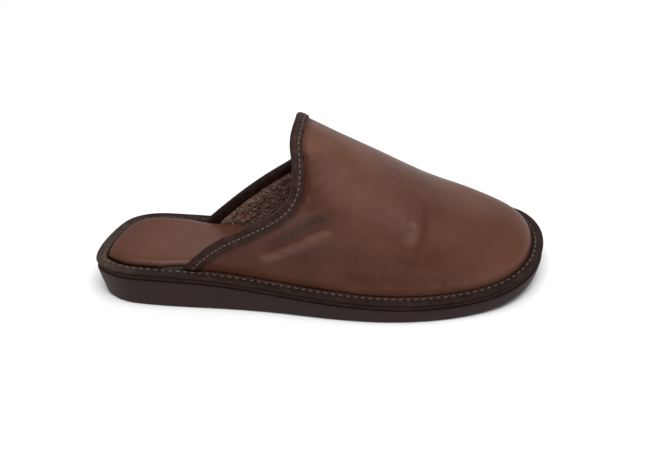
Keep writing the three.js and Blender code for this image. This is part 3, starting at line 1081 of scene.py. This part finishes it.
# Fleece lining: curly wool pile on a knitted back, glued inside the upper from the binding to the
# toe. The pile stands 2 to 3 mm high in small locks, reddish and grey brown mixed.
PILE_BACK_LIFT = 0.0010
PILE_FROM = 0.0045  # from the cut edge
PILE_DEEP_X = 0.075  # forward of this the pile is felted flat and out of sight
LINING_END_X = 0.118
LINING_BACK = 0.0006
LUMPS = ((260, 0.0005), (90, 0.0004))  # how often in a metre, and how high
LOCKS_FROM = 0.0060  # from the cut edge
LOCK_SPACING = 0.0012
LOCK_RADIUS = 0.0009
LOCK_HEIGHT = 0.0018
STRAND_RADIUS = 0.00036

# Wool pile: matt reddish brown and grey brown fibres, IOR 1.5, with sheen along the locks.
wool, tree, output, place = new_material("wool_pile")
locks = add(tree, "ShaderNodeTexNoise", {"Scale": 420, "Detail": 2}, {"Vector": place})
tone = add(
    tree,
    "ShaderNodeValToRGB",
    {
        "stops": [
            (0.3, "#4e342a"),
            (0.42, "#6f483a"),
            (0.52, "#796055"),
            (0.62, "#8a5c4b"),
            (0.75, "#9c6f5f"),
        ]
    },
    {"Fac": locks.outputs["Fac"]},
)
fibres = add(tree, "ShaderNodeTexNoise", {"Scale": 2200, "Detail": 2}, {"Vector": place})
fibrous = add(
    tree, "ShaderNodeBump", {"Strength": 0.7, "Distance": 0.0004}, {"Height": fibres.outputs["Fac"]}
)
shader = add(
    tree,
    "ShaderNodeBsdfPrincipled",
    {"IOR": 1.5, "Roughness": 0.9, "Sheen Weight": 0.4, "Sheen Roughness": 0.4},
    {"Base Color": tone.outputs["Color"], "Normal": fibrous.outputs["Normal"]},
)
tree.links.new(shader.outputs["BSDF"], output.inputs["Surface"])

# Scatters curled locks of pile over a sheet
pile_tree, given, result = new_tree(
    "wool_locks",
    {
        "Sheet": "Geometry",
        "Spacing": "Float",
        "Lock radius": "Float",
        "Lock height": "Float",
        "Strand": "Float",
        "Seed": "Int",
        "Wool": "Material",
    },
    "Locks",
)
spots = add(
    pile_tree,
    "GeometryNodeDistributePointsOnFaces",
    {"distribute_method": "POISSON", "Density Max": 400000.0},
    {
        "Mesh": given.outputs["Sheet"],
        "Distance Min": given.outputs["Spacing"],
        "Seed": given.outputs["Seed"],
    },
)
curl = add(
    pile_tree,
    "GeometryNodeCurveSpiral",
    {"Resolution": 7, "Rotations": 1.35},
    {"Start Radius": given.outputs["Lock radius"], "Height": given.outputs["Lock height"]},
)
end_radius = add(
    pile_tree,
    "ShaderNodeMath",
    {"operation": "MULTIPLY", 1: 0.35},
    {0: given.outputs["Lock radius"]},
)
pile_tree.links.new(end_radius.outputs[0], curl.inputs["End Radius"])
strand = add(
    pile_tree,
    "GeometryNodeCurvePrimitiveCircle",
    {"Resolution": 3},
    {"Radius": given.outputs["Strand"]},
)
lock = add(
    pile_tree,
    "GeometryNodeCurveToMesh",
    {"Fill Caps": True},
    {"Curve": curl.outputs["Curve"], "Profile Curve": strand.outputs["Curve"]},
)
lean = add(
    pile_tree,
    "FunctionNodeRandomValue",
    {"data_type": "FLOAT_VECTOR", 0: (-0.9, -0.9, 0.0), 1: (0.9, 0.9, 6.28)},
    {"Seed": given.outputs["Seed"]},
)
leaning = add(
    pile_tree,
    "FunctionNodeRotateRotation",
    {"rotation_space": "LOCAL"},
    {"Rotation": spots.outputs["Rotation"], "Rotate By": lean.outputs[0]},
)
size = add(
    pile_tree,
    "FunctionNodeRandomValue",
    {"data_type": "FLOAT", 2: 0.6, 3: 1.25},
    {"Seed": given.outputs["Seed"]},
)
planted = add(
    pile_tree,
    "GeometryNodeInstanceOnPoints",
    links={
        "Points": spots.outputs["Points"],
        "Instance": lock.outputs["Mesh"],
        "Rotation": leaning.outputs["Rotation"],
        "Scale": size.outputs[1],
    },
)
real = add(
    pile_tree, "GeometryNodeRealizeInstances", links={"Geometry": planted.outputs["Instances"]}
)
woolly = add(
    pile_tree,
    "GeometryNodeSetMaterial",
    links={"Geometry": real.outputs["Geometry"], "Material": given.outputs["Wool"]},
)
pile_tree.links.new(woolly.outputs["Geometry"], result.inputs["Locks"])

edge_tree = KDTree(len(upper_edge))
for i, (point, _) in enumerate(upper_edge):
    edge_tree.insert(point, i)
edge_tree.balance()


def inner_sheet(name, lift, to_x, margin, inner_side=None):
    """The upper's inner face lifted off the wall, up to a place along the shoe and a margin from
    the cut edge, on one side of the shoe or on both."""
    sheet = bmesh.new()
    sheet.from_mesh(upper.data)
    sheet.normal_update()
    unwanted = []
    for face in sheet.faces:
        middle = face.calc_center_median()
        outwards = face.normal.dot(middle - Vector((middle.x, CORE_Y, CORE_Z))) > 0
        beyond = middle.x >= to_x
        wrong_side = inner_side is not None and (middle.y > CORE_Y) != inner_side
        if outwards or beyond or wrong_side or edge_tree.find(middle)[2] < margin:
            unwanted.append(face)
    bmesh.ops.delete(sheet, geom=unwanted, context="FACES")
    sheet.normal_update()
    moves = []
    for vertex in sheet.verts:
        lump = sum(noise.noise(vertex.co * often) * height for often, height in LUMPS)
        moves.append(vertex.normal * (lift + lump))
    for vertex, move in zip(sheet.verts, moves):
        vertex.co += move
    mesh = bpy.data.meshes.new(name)
    sheet.to_mesh(mesh)
    sheet.free()
    return placed(name, mesh)


def lock_pile(name, inner_side, seed):
    """Curled locks over one side of the lining, as one plain mesh."""
    ground = inner_sheet(name, PILE_BACK_LIFT, PILE_DEEP_X, LOCKS_FROM, inner_side)
    values = {
        "Spacing": LOCK_SPACING,
        "Lock radius": LOCK_RADIUS,
        "Lock height": LOCK_HEIGHT,
        "Strand": STRAND_RADIUS,
        "Seed": seed,
        "Wool": wool,
    }
    return grown(ground, name, pile_tree, values)


lining = inner_sheet("fleece_back", PILE_BACK_LIFT, LINING_END_X, PILE_FROM)
backing = lining.modifiers.new("backing", "SOLIDIFY")
backing.thickness = LINING_BACK
backing.offset = -1
lining = plain_mesh(lining, "fleece_back")
dress(lining, wool, None)
inner_pile = lock_pile("fleece_inner_side", True, 3)
dress(inner_pile, wool, None)
outer_pile = lock_pile("fleece_outer_side", False, 5)
dress(outer_pile, wool, None)

# Studio: a white floor without an edge, a large soft light high on the camera's side and a weak one
# behind that draws the far edges, and a camera at the angle from which the slipper is known.
CAMERA_AZIMUTH = math.radians(-2.18)
CAMERA_ELEVATION = math.radians(35.80)
CAMERA_ROLL = math.radians(-0.84)
CAMERA_DISTANCE = 0.757
CAMERA_AIM = Vector((0.0071, 0.0043, 0.0336))
LENS = 63.61
FLOOR = 6  # half its side
SKY_STRENGTH = 0.38

floor_mesh = bpy.data.meshes.new("studio_floor")
floor_mesh.from_pydata(
    [(-FLOOR, -FLOOR, 0), (FLOOR, -FLOOR, 0), (FLOOR, FLOOR, 0), (-FLOOR, FLOOR, 0)],
    [],
    [(0, 1, 2, 3)],
)
floor = placed("studio_floor", floor_mesh)
paper, tree, output, place = new_material("white_paper")
shader = add(tree, "ShaderNodeBsdfDiffuse", {"Color": linear("#f4f4f4")})
tree.links.new(shader.outputs["BSDF"], output.inputs["Surface"])
floor_mesh.materials.append(paper)

world = bpy.data.worlds.new("studio")
bpy.context.scene.world = world
world.use_nodes = True
sky = world.node_tree.nodes["Background"]
sky.inputs["Color"].default_value = linear("#ffffff")
sky.inputs["Strength"].default_value = SKY_STRENGTH


def soft_light(name, at, towards, size, watts):
    """A square area light that faces a point."""
    lamp = bpy.data.lights.new(name, "AREA")
    lamp.shape = "SQUARE"
    lamp.size = size
    lamp.energy = watts
    made = placed(name, lamp)
    made.location = at
    made.rotation_euler = (Vector(towards) - Vector(at)).to_track_quat("-Z", "Y").to_euler()


soft_light("key", (0.05, -0.38, 1.42), (0, 0, 0.03), 1.15, 22)
soft_light("back", (0.35, 1.35, 0.75), (0, 0, 0.04), 1.1, 5.5)

eye_back = Vector(
    (
        math.sin(CAMERA_AZIMUTH) * math.cos(CAMERA_ELEVATION),
        -math.cos(CAMERA_AZIMUTH) * math.cos(CAMERA_ELEVATION),
        math.sin(CAMERA_ELEVATION),
    )
)
level = Vector((math.cos(CAMERA_AZIMUTH), math.sin(CAMERA_AZIMUTH), 0))
upright = eye_back.cross(level)
eye_right = level * math.cos(CAMERA_ROLL) + upright * math.sin(CAMERA_ROLL)
eye_up = upright * math.cos(CAMERA_ROLL) - level * math.sin(CAMERA_ROLL)
lens = bpy.data.cameras.new("camera")
lens.lens = LENS
lens.sensor_width = 36
camera = placed("camera", lens)
camera.matrix_world = Matrix.Translation(CAMERA_AIM + eye_back * CAMERA_DISTANCE) @ Matrix(
    (eye_right, eye_up, eye_back)
).transposed().to_4x4()
bpy.context.scene.camera = camera
bpy.context.scene.view_settings.view_transform = "Standard"
